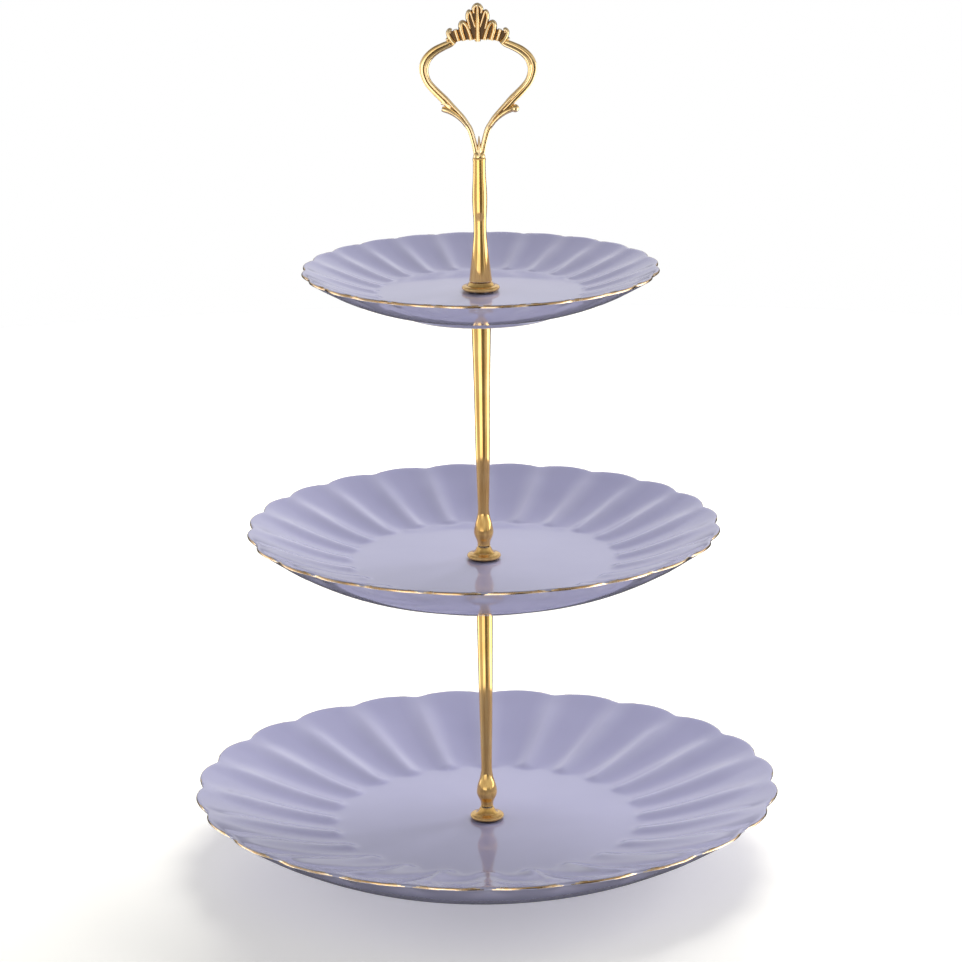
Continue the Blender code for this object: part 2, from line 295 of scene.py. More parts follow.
def from_notch(place):
    """How far a point is from the nearest notch: 0 in the notch and 1 in the middle of a lobe."""
    angle = math.atan2(place.y, place.x) % LOBE
    return min(angle, LOBE - angle) / (LOBE / 2)


def press_notches(piece, plate):
    top = (plate["foot_z"] + plate["height"] - 1.4 * RIM) * MM
    pick_points(piece, lambda place: place.z > top and from_notch(place) < 0.01)
    reach = plate["radius"]
    width = reach * MM * LOBE / 2
    shrink = 1 - plate["notch_in"] / reach
    follow = dict(use_proportional_edit=True, proportional_edit_falloff="SHARP", proportional_size=width)
    bpy.ops.transform.resize(value=(shrink, shrink, 1), center_override=CENTRE, **follow)
    bpy.ops.transform.translate(value=(0, 0, -plate["notch_down"] * MM), **follow)
    leave_edit()


# %% [markdown]
# Between two petals the clay stands up in a ridge, sharp at its crest and fading into the petals and the
# well. Each point gets a weight for how near it is to a crest, and a Displace modifier lifts it by that
# share. The weights stay on the plate as an attribute, because the glaze is painted paler along the
# ridges, as a highlight.

# %% Raise the ridges
ROUND_TOP = 0.13
RIDGE_POWER = 2.4


def crest_weight(place, plate):
    """The height of the ridge at a point of the wall, from 0 to 1."""
    share = wall_share(place.xy.length / MM, plate)
    if share < -0.07:
        return 0.0
    across = math.hypot(from_notch(place), ROUND_TOP)
    edge = math.hypot(1.0, ROUND_TOP)
    profile = max(0.0, (edge - across) / (edge - ROUND_TOP)) ** RIDGE_POWER
    start = min(1.0, max(0.0, (share + 0.05) / 0.09))
    start = start * start * (3 - 2 * start)
    along = 0.66 + 0.95 * share - 1.1 * share * share
    return profile * start * max(0.0, along)


def raise_ridges(piece, plate):
    """Lifts the ridges on the upper side only."""
    weights = []
    for point in piece.data.vertices:
        share = wall_share(point.co.xy.length / MM, plate)
        surface = wall_height(max(0.0, min(1.0, share)), plate) + plate["foot_z"]
        inside = point.co.z / MM > surface - 2.0 - plate["notch_down"] * max(0.0, share) ** 3
        weights.append(crest_weight(point.co, plate) if inside else 0.0)
    ridges = piece.vertex_groups.new(name="ridges")
    for index, weight in enumerate(weights):
        ridges.add([index], weight, "REPLACE")
    apply_modifier(
        piece, "DISPLACE", direction="Z", strength=plate["ridge"] * MM, mid_level=0.0, vertex_group="ridges"
    )
    crest = piece.data.attributes.new("crest", "FLOAT", "POINT")
    crest.data.foreach_set("value", weights)


# %% [markdown]
# With the helpers ready, a plate is five steps: turn it, press it, raise its ridges, round it off with
# one subdivision, and put it on its body.

# %% Make the plates
for tier, plate in PLATES.items():
    piece = turn(tier + "_plate_glazed", plate_contour(plate), RING_POINTS, closed=True)
    press_notches(piece, plate)
    raise_ridges(piece, plate)
    apply_modifier(piece, "SUBSURF", levels=1, render_levels=1)
    smooth_shade(piece, 60)
    put_in_place(piece, BODIES[tier], "lavender_glaze", tier + "_plate")

# %% [markdown]
# ## The gilded edge
# The edge is painted with gold after the glaze, in a film less than a millimetre wide along the outside
# of the rim. It is taken from the plate itself, so that it follows every notch: the faces there are
# copied, split off, and given a thin wall.

# %% Gild the rims
GILDING = 0.07 * MM
NEAR_RIM = RIM / 2 + 0.5
OUTSIDE = 0.62


def gild(tier):
    plate = PLATES[tier]
    source = pieces[tier + "_plate_glazed"]
    edit(source, "FACE")
    leave_edit()
    half = RIM / 2
    for face in source.data.polygons:
        place = face.center
        drop = (1 - from_notch(place)) ** 2
        rim_radius = plate["radius"] - half - plate["notch_in"] * drop
        rim_height = plate["foot_z"] + plate["height"] - half - plate["notch_down"] * drop
        out = place.xy.length / MM - rim_radius
        up = place.z / MM - rim_height
        painted = math.hypot(out, up) < NEAR_RIM and out + 0.2 * up > OUTSIDE
        face.select = painted and face.normal.z > -0.5
    bpy.ops.object.mode_set(mode="EDIT")
    bpy.ops.mesh.duplicate()
    bpy.ops.mesh.separate(type="SELECTED")
    leave_edit()
    band = [piece for piece in bpy.context.selected_objects if piece is not source][0]
    band.name = tier + "_gilding"
    band.data.name = band.name
    apply_modifier(band, "SOLIDIFY", thickness=2 * GILDING, offset=0.0)
    smooth_shade(band, 60)
    put_in_place(band, BODIES[tier], "polished_gold")


for tier in PLATES:
    gild(tier)

# %% [markdown]
# ## Soft pads and washer
# A clear pad lies on each side of each plate, so that metal never touches glaze. Under the bottom plate a
# turned washer spreads the load of the screw. They are turned like the rest, with their corners rounded.

# %% Pads and washer


def heights(node):
    """A solid's lowest and highest point and its outer radius, in mm."""
    low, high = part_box(node)
    return low.z / MM, high.z / MM, high.x / MM


def turned_ring(node, inner, soft, slot, body):
    """A flat ring with rounded corners in the place of its plain solid."""
    low, high, outer = heights(node)
    contour = [(inner, low + soft), (inner + soft, low), (outer - soft, low)]
    contour += arc(outer - soft, low + soft, soft, -90, 0, 3)[1:]
    contour += arc(outer - soft, high - soft, soft, 0, 90, 3)
    contour += [(inner + soft, high), (inner, high - soft)]
    piece = turn(node + "_turned", contour, 48, closed=True)
    smooth_shade(piece)
    put_in_place(piece, body, slot, node)


BORE = 2.2
PADS = {
    "bottom_plate_lower_pad": "base", "bottom_plate_upper_pad": "base",
    "middle_plate_lower_pad": "lower_column", "middle_plate_upper_pad": "middle_tier",
    "top_plate_lower_pad": "upper_column", "top_plate_upper_pad": "top_tier",
}
for node, body in PADS.items():
    turned_ring(node, BORE, 0.25, "clear_pad", body)
turned_ring("base_washer", BORE, 0.2, "bright_steel", "base")

# %% [markdown]
# ## Rosettes and rods
# A polished surface shows each flat as a band. A few listed points give a contour's shape, a smooth
# curve through them gives the rings in between, and one subdivision rounds what is left.

# %% Smooth contours


def between(before, here, there, after, t):
    """The smooth curve from here to there at t, which heads for the points on either side."""
    bend = 2 * before - 5 * here + 4 * there - after
    twist = 3 * here - before - 3 * there + after
    return 0.5 * (2 * here + (there - before) * t + bend * t**2 + twist * t**3)


def flowing(points, steps):
    """A smooth run through (radius, height) points, with this many rings between two of them."""
    ends = [points[0], *points, points[-1]]
    run = []
    for four in zip(ends, ends[1:], ends[2:], ends[3:]):
        for step in range(steps):
            run.append(tuple(between(*values, step / steps) for values in zip(*four)))
    return run + [points[-1]]


def round_off(piece):
    """One subdivision, which rounds the flats between the rings of a turned piece."""
    apply_modifier(piece, "SUBSURF", levels=1, render_levels=1)


# %% [markdown]
# A rosette is a flared foot: a rounded disc that sweeps up to the neck of the rod above it, with a recess
# below that hides the pad.

# %% Rosettes
RECESS = 1.1
DISC_EDGE = 0.9


def turn_rosette(node, body, neck, steepness):
    """The recess for the pad, the rounded disc, the flare up to the neck, and the bore."""
    low, high, outer = heights(node)
    contour = [(BORE, low + RECESS), (5.5, low + RECESS), (5.5, low + 0.2), (5.8, low)]
    contour += arc(outer - DISC_EDGE, low + DISC_EDGE, DISC_EDGE, -90, 80, 8)
    start, disc_top = outer - 2.2, low + 2.05
    flare = [(outer - 1.7, low + 1.95), (start, disc_top)]
    for share in (0.25, 0.5, 0.72, 0.9):
        flare.append((start - (start - neck) * share, disc_top + (high - disc_top) * share**steepness))
    flare.append((neck, high - 0.15))
    contour += flowing(flare, 3) + [(neck - 0.15, high), (BORE, high)]
    piece = turn(node + "_turned", contour, 64, closed=True)
    round_off(piece)
    smooth_shade(piece, 60)
    put_in_place(piece, body, "polished_gold", node)


turn_rosette("bottom_rosette", "lower_rod_foot", 2.95, 2.0)
turn_rosette("middle_rosette", "upper_rod_foot", 2.95, 2.0)
turn_rosette("top_rosette", "handle_foot", 4.9, 1.3)

# %% [markdown]
# The rods swell into a bulb above the neck, pull in to a waist and then widen all the way up. The
# handle's stem flares at its foot and swells once, with a collar at its top. Each has a bore in its foot
# for the thread below it, and a socket in its top for the stud or the handle's tenon.

# %% Rods and stem
AXIS = 0.4
BORE_DEPTH = 10.5
SOCKET_DEPTH = 6.2
LOWER_ROD = [
    (2.75, 0.0), (2.7, 0.9), (3.1, 2.6), (4.15, 4.8), (4.5, 6.7), (4.05, 9.6), (3.0, 13.2), (2.4, 17.2),
    (2.5, 25.0), (2.8, 40.0), (3.0, 53.0), (3.3, 76.0), (3.45, 87.0), (3.65, 107.0),
]
UPPER_ROD = [
    (2.8, 0.0), (2.75, 0.9), (3.1, 2.4), (3.9, 4.3), (4.25, 6.2), (3.75, 9.2), (2.9, 12.6), (2.45, 16.0),
    (2.65, 24.0), (3.1, 42.0), (3.45, 69.0), (4.1, 95.0), (4.28, 106.0),
]
STEM = [
    (4.9, 0.0), (4.6, 2.4), (3.9, 8.4), (3.25, 14.4), (2.75, 20.0), (2.7, 25.5), (3.0, 30.5),
    (3.15, 35.0), (3.05, 39.0), (2.75, 44.3), (2.65, 49.0),
]


def turn_rod(node, body, points, top, socket):
    """A rod with a bore in its foot and a socket in its top, each with a chamfered mouth."""
    low, high, _ = heights(node)
    grow = (high - low - 0.25) / points[-1][1] if not top else 1.0
    side = flowing([(radius, low + height * grow) for radius, height in points], 5)
    contour = [(AXIS, low + BORE_DEPTH), (BORE, low + BORE_DEPTH - 0.3), (BORE, low + 0.3), (BORE + 0.3, low)]
    contour.append((points[0][0] - 0.15, low))
    contour += [(radius, max(height, low + 0.12)) for radius, height in side] + top
    edge = contour[-1][0]
    contour += [(edge - 0.2, high), (socket + 0.2, high), (socket, high - 0.2)]
    contour += [(socket, high - SOCKET_DEPTH + 0.3), (AXIS, high - SOCKET_DEPTH)]
    piece = turn(node + "_turned", contour, 56)
    round_off(piece)
    smooth_shade(piece, 60)
    put_in_place(piece, body, "polished_gold", node)


turn_rod("lower_rod", "lower_column", LOWER_ROD, [], BORE)
turn_rod("upper_rod", "upper_column", UPPER_ROD, [], BORE)
_, stem_high, _ = heights("handle_stem")
collar = [(2.6, stem_high - 1.8), (2.8, stem_high - 1.3), (2.8, stem_high - 0.8), (2.6, stem_high - 0.3)]
turn_rod("handle_stem", "handle", STEM, collar, 1.5)

# %% [markdown]
# ## Screw and studs
# The column is held by M4 threads. A thread is one pitch of its profile swept along a helix by the Screw
# modifier, once for each turn; the turns are merged into one skin, its ends are filled, and an
# intersection with a plain cylinder cuts it square at both ends.

# %% Threads
PITCH = 0.7
CREST = 1.9
ROOT = 1.5
LEAD_IN = 1.61 * PITCH


def threaded_rod(name, low, high):
    """A helical thread between two heights, standing on its root and cut square."""
    deselect_all()
    bpy.ops.mesh.primitive_plane_add(size=MM, location=(0, 0, 0))
    rod = named(name)
    edit(rod)
    bpy.ops.mesh.select_all(action="SELECT")
    bpy.ops.mesh.merge(type="CENTER")
    bpy.ops.transform.translate(value=(ROOT * MM, 0, (low - LEAD_IN) * MM))
    for across, up in ((CREST - ROOT, 0.3), (0, 0.1), (ROOT - CREST, 0.3)):
        bpy.ops.mesh.extrude_region_move(TRANSFORM_OT_translate={"value": (across * MM, 0, up * MM)})
    leave_edit()
    turns = math.ceil((high - low) / PITCH) + 4
    apply_modifier(rod, "SCREW", screw_offset=PITCH * MM, iterations=turns, steps=20, render_steps=20)
    edit(rod)
    bpy.ops.mesh.select_all(action="SELECT")
    bpy.ops.mesh.remove_doubles(threshold=1e-6)
    bpy.ops.mesh.fill_holes(sides=0)
    bpy.ops.mesh.normals_make_consistent(inside=False)
    leave_edit()
    deselect_all()
    bpy.ops.mesh.primitive_cylinder_add(
        vertices=24, radius=3 * MM, depth=(high - low) * MM, location=(0, 0, (low + high) / 2 * MM)
    )
    blank = named("thread_blank")
    apply_modifier(rod, "BOOLEAN", operation="INTERSECT", object=blank, solver="EXACT")
    bpy.data.objects.remove(blank, do_unlink=True)
    smooth_shade(rod, 50)
    return rod


for node, body in (("lower_rod_stud", "lower_rod_foot"), ("upper_rod_stud", "upper_rod_foot")):
    low, high, _ = heights(node)
    stud = threaded_rod(node + "_threaded", low, high)
    put_in_place(stud, body, "bright_steel", node)

# %% [markdown]
# The base screw's pan head is turned, with a cross recess cut by two crossed bars, and its shank is
# threaded. It is driven from below, so the recess looks down.

# %% Base screw


def soften_edges(piece, width, segments=2, angle=40):
    apply_modifier(
        piece, "BEVEL", width=width, segments=segments, limit_method="ANGLE", angle_limit=math.radians(angle)
    )


low, high, head_radius = heights("base_screw")
HEAD = 2.2
top = low + HEAD
domed = [(2.0, low), (4.2, low + 0.12), (5.1, low + 0.55), (head_radius, low + 1.3), (head_radius, top - 0.1)]
under_head = [(head_radius - 0.1, top), (1.95, top), (1.85, top + 0.2), (1.85, top + 0.6)]
head = turn("base_screw_threaded", domed + under_head, 48)
for quarter in range(2):
    deselect_all()
    bpy.ops.mesh.primitive_cube_add(
        size=MM, location=(0, 0, low * MM), rotation=(0, 0, quarter * math.pi / 2), scale=(4.6, 1.0, 2.6)
    )
    slot_cutter = named("recess_cutter")
    soften_edges(slot_cutter, 0.3 * MM)
    apply_modifier(head, "BOOLEAN", operation="DIFFERENCE", object=slot_cutter, solver="EXACT")
    bpy.data.objects.remove(slot_cutter, do_unlink=True)
shank = threaded_rod("shank", top + 0.5, high)
apply_modifier(head, "BOOLEAN", operation="UNION", object=shank, solver="EXACT")
bpy.data.objects.remove(shank, do_unlink=True)
smooth_shade(head, 35)
put_in_place(head, "base", "bright_steel", "base_screw")

# %% [markdown]
# ## The loop handle
# The loop is one casting: two strands that rise from the collar, a curled leaf on each side, and a crown
# of fingers. Each element is a curve with a section swept along it, drawn flat and then stood up, and a
# union joins them all. The strand's section has a bead along its inner side and a flatter band along its
# outer side.

# %% Sections and beads
loop_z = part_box("handle_stem")[1].z / MM
DEPTH = 1.2
STRAND_SECTION = [
    (-1.0, 0.3), (-0.95, 0.55), (-0.8, 0.76), (-0.6, 0.86), (-0.4, 0.83), (-0.2, 0.66), (-0.1, 0.5),
    (0.0, 0.42), (0.25, 0.44), (0.55, 0.42), (0.8, 0.33), (0.95, 0.2), (1.0, 0.08),
]


def draw_curve(name, points, closed=False):
    """A flat curve through (out, up) or (out, up, width) points, in mm."""
    deselect_all()
    bpy.ops.curve.primitive_nurbs_path_add(location=CENTRE)
    drawn = bpy.context.active_object
    drawn.name = name
    shape = drawn.data
    shape.dimensions = "2D"
    shape.fill_mode = "NONE"
    shape.splines.clear()
    line = shape.splines.new("POLY")
    line.points.add(len(points) - 1)
    for spot, (out, up, *width) in zip(line.points, points):
        spot.co = (out * MM, up * MM, 0, 1)
        spot.radius = width[0] / 2 if width else 1.0
    line.use_cyclic_u = closed
    return drawn


def section(name, half, depth):
    """A closed section from its upper half, mirrored below."""
    whole = [(across, deep * depth) for across, deep in half]
    whole += [(across, -deep * depth) for across, deep in reversed(half)]
    return draw_curve(name, whole, closed=True)


def oval(name, depth):
    turns = [math.pi * (step + 0.5) / 8 for step in range(8)]
    return section(name, [(-math.cos(turn_by), math.sin(turn_by)) for turn_by in turns], depth)


# %% [markdown]
# A curve's bevel object sweeps the section along it, scaled by the width at each point. Converted to a
# mesh and merged, it is a closed solid that a union can work with.

# %% Sweep a section


def sweep(name, points, cut):
    """A section swept along a smooth run of points, as a closed mesh."""
    swept = draw_curve(name, flowing(points, 6))
    swept.data.bevel_mode = "OBJECT"
    swept.data.bevel_object = cut
    swept.data.use_fill_caps = True
    select_only(swept)
    bpy.ops.object.convert(target="MESH")
    edit(swept)
    bpy.ops.mesh.select_all(action="SELECT")
    bpy.ops.mesh.remove_doubles(threshold=1e-6)
    bpy.ops.mesh.normals_make_consistent(inside=False)
    leave_edit()
    return swept


def mirrored(points):
    """The same run on the other side, walked the other way so that the section's outer edge stays outside."""
    return [(-point[0], *point[1:]) for point in reversed(points)]


def ball(name, out, up, radius, flat=1.0):
    deselect_all()
    bpy.ops.mesh.primitive_uv_sphere_add(
        segments=20, ring_count=12, radius=radius * MM, location=(out * MM, up * MM, 0), scale=(1, 1, flat)
    )
    return named(name)


# %% [markdown]
# The elements are measured from the top of the stem: how far out, how far up, and how wide. One side is
# listed and the other is its mirror image, apart from the curled leaves: the left one is cleft and the
# right one ends in a knob.

# %% Strands, leaves and crown
STRAND = [
    (0.9, -0.8, 2.8), (1.2, 1.6, 2.5), (2.1, 6.0, 2.3), (3.6, 11.3, 2.4), (5.3, 14.1, 2.6),
    (7.1, 16.6, 2.8), (9.6, 19.4, 2.9), (12.0, 21.8, 3.3), (14.1, 24.1, 3.5), (16.6, 26.6, 3.4),
    (19.2, 29.3, 3.3), (21.1, 31.8, 3.3), (22.2, 34.5, 3.5), (22.6, 36.8, 3.8), (22.3, 39.2, 4.0),
    (20.9, 42.0, 3.8), (18.0, 44.7, 3.6), (14.2, 46.7, 3.3), (11.5, 47.8, 3.0), (9.9, 48.9, 2.4),
]
SIDE_LEAF = [
    (5.2, 13.2, 1.4), (7.2, 15.7, 1.8), (9.6, 17.9, 2.2), (12.0, 19.4, 2.5), (14.2, 20.2, 2.5),
    (15.3, 20.5, 2.0),
]
LEFT_LOBE = [(11.0, 21.2, 1.3), (13.2, 22.4, 1.6), (15.6, 22.9, 1.3)]
WEB = [(0.1, 0.4, 2.0), (0.05, 4.5, 1.5), (0.0, 8.8, 0.4)]
MIDRIB = [(0.0, 48.8, 2.5), (0.0, 53.0, 2.3), (0.0, 58.0, 2.0), (0.0, 61.0, 1.6), (0.0, 63.4, 1.3)]
TIP = [
    (-1.5, 60.5, 1.3), (-1.7, 62.2, 1.5), (-1.0, 63.4, 1.6), (0.0, 63.8, 1.7), (1.0, 63.4, 1.6),
    (1.7, 62.2, 1.5), (1.5, 60.5, 1.3),
]
UPPER_LEAF = [
    (1.0, 54.6, 1.1), (2.1, 58.1, 1.3), (2.8, 60.3, 1.4), (3.4, 61.2, 1.5), (4.0, 60.4, 1.6),
    (4.2, 58.4, 1.6), (3.7, 56.2, 1.4), (3.1, 54.0, 1.2),
]
LOWER_LEAF = [
    (2.6, 49.4, 2.1), (3.4, 52.2, 2.0), (4.5, 54.9, 1.9), (5.5, 56.3, 1.9), (6.4, 56.6, 1.9),
    (7.0, 55.6, 2.1), (6.8, 53.4, 2.2), (6.1, 51.0, 2.1), (5.6, 49.2, 2.0),
]
THIRD = [(9.3, 53.6, 1.9), (8.8, 51.6, 1.9), (8.0, 48.9, 1.8)]
VOLUTE = [
    (9.6, 47.9, 2.4), (11.0, 49.4, 2.1), (12.0, 51.2, 1.9), (12.3, 52.6, 1.7), (11.6, 53.5, 1.6),
    (10.9, 53.2, 1.4),
]
BUDS = [(11.5, 52.5, 0.8), (12.6, 49.6, 0.75)]
CROWN_PLATE = [
    (0.0, 63.4), (1.4, 62.6), (3.1, 61.2), (3.7, 59.0), (4.1, 57.0), (6.5, 56.6), (7.1, 54.2),
    (8.8, 53.2), (11.8, 53.0), (12.0, 51.2), (11.0, 49.3), (9.8, 48.3), (7.6, 48.9), (4.2, 49.3),
]

# %% [markdown]
# Every element is swept on its own. The fingers are deeper than they are wide, so that they stand out in
# relief.

# %% Sweep the elements
strand_cut = section("strand_section", STRAND_SECTION, DEPTH)
bead_cut = oval("bead_section", 1.25)
rib_cut = oval("rib_section", 2.3)
elements = [
    sweep("strand_right", STRAND, strand_cut),
    sweep("strand_left", mirrored(STRAND), strand_cut),
    sweep("web", WEB, rib_cut),
    sweep("midrib", MIDRIB, rib_cut),
    sweep("tip", TIP, rib_cut),
    sweep("left_lobe", mirrored(LEFT_LOBE), bead_cut),
    ball("knob", 15.2, 20.4, 1.75),
    ball("collar_knot", 0.0, 0.2, 2.5, 0.9),
]
for label, run, cut in (
    ("side_leaf", SIDE_LEAF, bead_cut),
    ("upper_leaf", UPPER_LEAF, rib_cut),
    ("lower_leaf", LOWER_LEAF, rib_cut),
    ("third_finger", THIRD, rib_cut),
    ("volute", VOLUTE, rib_cut),
):
    elements += [sweep(label + "_right", run, cut), sweep(label + "_left", mirrored(run), cut)]
for out, up, radius in BUDS:
    elements += [ball("bud", side * out, up, radius, 1.6) for side in (-1, 1)]

# %% [markdown]
# A thin web between the fingers ties them together, as in a real mould, where metal has to reach each
# one. Its outline is filled and extruded both ways.

# %% Web of the crown
outline = CROWN_PLATE + [(-out, up) for out, up in reversed(CROWN_PLATE[1:])]
crown_web = draw_curve("crown_web", outline, closed=True)
crown_web.data.fill_mode = "BOTH"
WEB_DEPTH = 0.4
crown_web.data.extrude = WEB_DEPTH * MM
select_only(crown_web)
bpy.ops.object.convert(target="MESH")
elements.append(crown_web)

# %% [markdown]
# The elements are joined and stood upright on the stem. A tenon goes down into the stem's socket, and a
# union with it makes one closed skin of them all. A real loop is poured in one mould, then polished; the
# slits between the fingers are painted dark later, as shade.

# %% Cast the handle
select_only(crown_web, *elements)
bpy.ops.object.join()
loop = bpy.context.active_object
loop.name = loop.data.name = "handle_loop_cast"
edit(loop)
bpy.ops.mesh.select_all(action="SELECT")
bpy.ops.mesh.remove_doubles(threshold=1e-6)
bpy.ops.transform.rotate(value=-math.pi / 2, orient_axis="X", center_override=CENTRE)
bpy.ops.transform.translate(value=(0, 0, loop_z * MM))
leave_edit()
for cut in (strand_cut, bead_cut, rib_cut):
    bpy.data.objects.remove(cut, do_unlink=True)
low, _, _ = heights("handle_loop")
deselect_all()
bpy.ops.mesh.primitive_cylinder_add(
    vertices=32, radius=1.35 * MM, depth=(loop_z - low) * MM, location=(0, 0, (low + loop_z) / 2 * MM)
)
tenon = named("tenon")
apply_modifier(loop, "BOOLEAN", operation="UNION", object=tenon, solver="EXACT", use_self=True)
bpy.data.objects.remove(tenon, do_unlink=True)
smooth_shade(loop, 48)
put_in_place(loop, "handle", "polished_gold", "handle_loop")
print("handle lowest and highest", [round(loop.bound_box[corner][2] / MM, 1) for corner in (0, 6)])

# %% [markdown]
# ## Finishes
# The glaze is a thin coloured glass over white clay, painted paler along the ridges as a highlight. The
# gold is bright and finely streaked, painted pale on its outward bends as a highlight and dark in its
# hollows as shade; the screws and the washer are plated steel, and the pads are clear soft plastic. All of
# it is built from a few small node helpers.

# %% Material helpers


def new_material(name):
    material = bpy.data.materials.new(name)
    material.use_nodes = True
    return material, material.node_tree, material.node_tree.nodes["Principled BSDF"]


def add(tree, kind, **settings):
    node = tree.nodes.new("ShaderNode" + kind)
    for setting, value in settings.items():
        if setting in node.inputs:
            node.inputs[setting].default_value = value
        else:
            setattr(node, setting, value)
    return node


def noise_of(tree, scale, detail=3.0, stretch=(1, 1, 1)):
    """Noise on Object coordinates, about this many grains to the metre."""
    place = add(tree, "TexCoord")
    mapping = add(tree, "Mapping")
    mapping.inputs["Scale"].default_value = stretch
    noise = add(tree, "TexNoise", Scale=scale, Detail=detail)
    tree.links.new(place.outputs["Object"], mapping.inputs["Vector"])
    tree.links.new(mapping.outputs["Vector"], noise.inputs["Vector"])
    return noise.outputs["Fac"]


def ramp(tree, value, *stops):
    """Colours or greys along a value, each stop a (position, colour)."""
    node = add(tree, "ValToRGB")
    steps = node.color_ramp.elements
    while len(steps) < len(stops):
        steps.new(0.5)
    for step, (position, colour) in zip(steps, stops):
        step.position = position
        step.color = (*colour, 1.0) if isinstance(colour, tuple) else (colour, colour, colour, 1.0)
    tree.links.new(value, node.inputs["Fac"])
    return node.outputs["Color"]


def mix(tree, share, one, other):
    node = add(tree, "Mix", data_type="RGBA")
    for socket, value in ((0, share), (6, one), (7, other)):
        tree.links.new(value, node.inputs[socket])
    return node.outputs[2]


def bump(tree, shader, height, strength, distance):
    node = add(tree, "Bump", Strength=strength, Distance=distance)
    tree.links.new(height, node.inputs["Height"])
    tree.links.new(node.outputs["Normal"], shader.inputs["Normal"])


# %% [markdown]
# The glaze mixes a body colour with a paler one by the ridge weights, a painted highlight along the
# crests, over a slow drift in tone. Its roughness varies a little and its surface is faintly uneven, as
# glass that has run. The flat of the foot ring is bare clay, rough and speckled.

# %% Glaze


def make_glaze():
    material, tree, shader = new_material("lavender_glaze")
    soft = noise_of(tree, 28.0, 2.0)
    flecks = noise_of(tree, 420.0, 4.0)
    crest = add(tree, "Attribute", attribute_name="crest").outputs["Fac"]
    body = ramp(tree, soft, (0.3, (0.375, 0.37, 0.54)), (0.7, (0.40, 0.393, 0.565)))
    # The paler colour along the crests is a painted highlight on the ridges.
    crest_highlight = ramp(tree, soft, (0.3, (0.50, 0.495, 0.64)), (0.7, (0.55, 0.54, 0.68)))
    glazed = mix(tree, ramp(tree, crest, (0.1, 0.0), (0.9, 0.6)), body, crest_highlight)
    bare = add(tree, "Attribute", attribute_name="bare").outputs["Fac"]
    clay = ramp(tree, flecks, (0.35, (0.60, 0.56, 0.52)), (0.65, (0.76, 0.73, 0.69)))
    tree.links.new(mix(tree, bare, glazed, clay), shader.inputs["Base Color"])
    gloss = ramp(tree, noise_of(tree, 90.0, 3.0), (0.3, 0.06), (0.7, 0.11))
    matt = ramp(tree, flecks, (0.3, 0.75), (0.7, 0.9))
    tree.links.new(mix(tree, bare, gloss, matt), shader.inputs["Roughness"])
    bump(tree, shader, noise_of(tree, 60.0, 1.0), 0.12, 0.0004)
    shader.inputs["IOR"].default_value = 1.52
    shader.inputs["Coat Weight"].default_value = 0.3
    shader.inputs["Coat Roughness"].default_value = 0.04
    return material


# %% [markdown]
# The gold is the same on all its pieces, in three states: polished on the turned rods, with dark lengthwise
# streaks; a little softer on the casting; and browner on the painted rims. Where the surface bends sharply
# outwards it is painted pale, as a highlight, and in hollows it is painted dark, as shade. The gold of the
# rods and the casting is not made fully metallic, so that it keeps some of its own colour where it mirrors
# the plates.

# %% Gold


def make_gold(name, tones, smoothest, roughest, streaky, metallic):
    material, tree, shader = new_material(name)
    soft = noise_of(tree, 70.0, 3.0)
    streaks = noise_of(tree, 700.0, 2.0, (1, 1, 0.03))
    tone = ramp(tree, soft, (0.35, tones[0]), (0.65, tones[1]))
    deep = ramp(tree, soft, (0.3, (0.56, 0.28, 0.06)), (0.7, (0.66, 0.35, 0.09)))
    streaked = mix(tree, ramp(tree, streaks, (0.42, streaky), (0.58, 0.0)), tone, deep)
    bend = add(tree, "Attribute", attribute_name="bend").outputs["Fac"]
    # Painted light: pale on outward bends is a painted highlight, near-black in hollows is painted shade.
    pale = ramp(tree, soft, (0.3, (0.96, 0.80, 0.52)), (0.7, (0.98, 0.86, 0.62)))
    dark = ramp(tree, soft, (0.3, (0.05, 0.02, 0.005)), (0.7, (0.10, 0.045, 0.012)))
    highlit_edges = mix(tree, ramp(tree, bend, (0.62, 0.0), (0.8, 0.6)), streaked, pale)
    shaded = mix(tree, ramp(tree, bend, (0.22, 0.95), (0.4, 0.0)), highlit_edges, dark)
    tree.links.new(shaded, shader.inputs["Base Color"])
    rough = ramp(tree, noise_of(tree, 260.0, 5.0, (1, 1, 0.25)), (0.3, smoothest), (0.75, roughest))
    tree.links.new(rough, shader.inputs["Roughness"])
    bump(tree, shader, noise_of(tree, 900.0, 4.0, (1, 1, 0.15)), 0.05, 0.0001)
    shader.inputs["Metallic"].default_value = metallic
    shader.inputs["Coat Weight"].default_value = 0.4
    shader.inputs["Coat Roughness"].default_value = smoothest
    return material


# %% [markdown]
# Plated steel is grey and finely brushed. The pads are cloudy soft plastic that lets some light through.

# %% Steel and pads


def make_steel():
    material, tree, shader = new_material("bright_steel")
    brushed = noise_of(tree, 700.0, 5.0, (1, 1, 0.2))
    tone = ramp(tree, brushed, (0.3, (0.46, 0.47, 0.49)), (0.7, (0.66, 0.67, 0.69)))
    tree.links.new(tone, shader.inputs["Base Color"])
    tree.links.new(ramp(tree, brushed, (0.3, 0.2), (0.7, 0.36)), shader.inputs["Roughness"])
    bump(tree, shader, brushed, 0.15, 0.0001)
    shader.inputs["Metallic"].default_value = 1.0
    return material


def make_pad():
    material, tree, shader = new_material("clear_pad")
    cloudy = noise_of(tree, 300.0, 3.0)
    tone = ramp(tree, cloudy, (0.3, (0.80, 0.82, 0.84)), (0.7, (0.92, 0.93, 0.94)))
    tree.links.new(tone, shader.inputs["Base Color"])
    tree.links.new(ramp(tree, cloudy, (0.3, 0.25), (0.7, 0.42)), shader.inputs["Roughness"])
    bump(tree, shader, cloudy, 0.1, 0.0001)
    shader.inputs["Transmission Weight"].default_value = 0.6
    shader.inputs["IOR"].default_value = 1.43
    return material
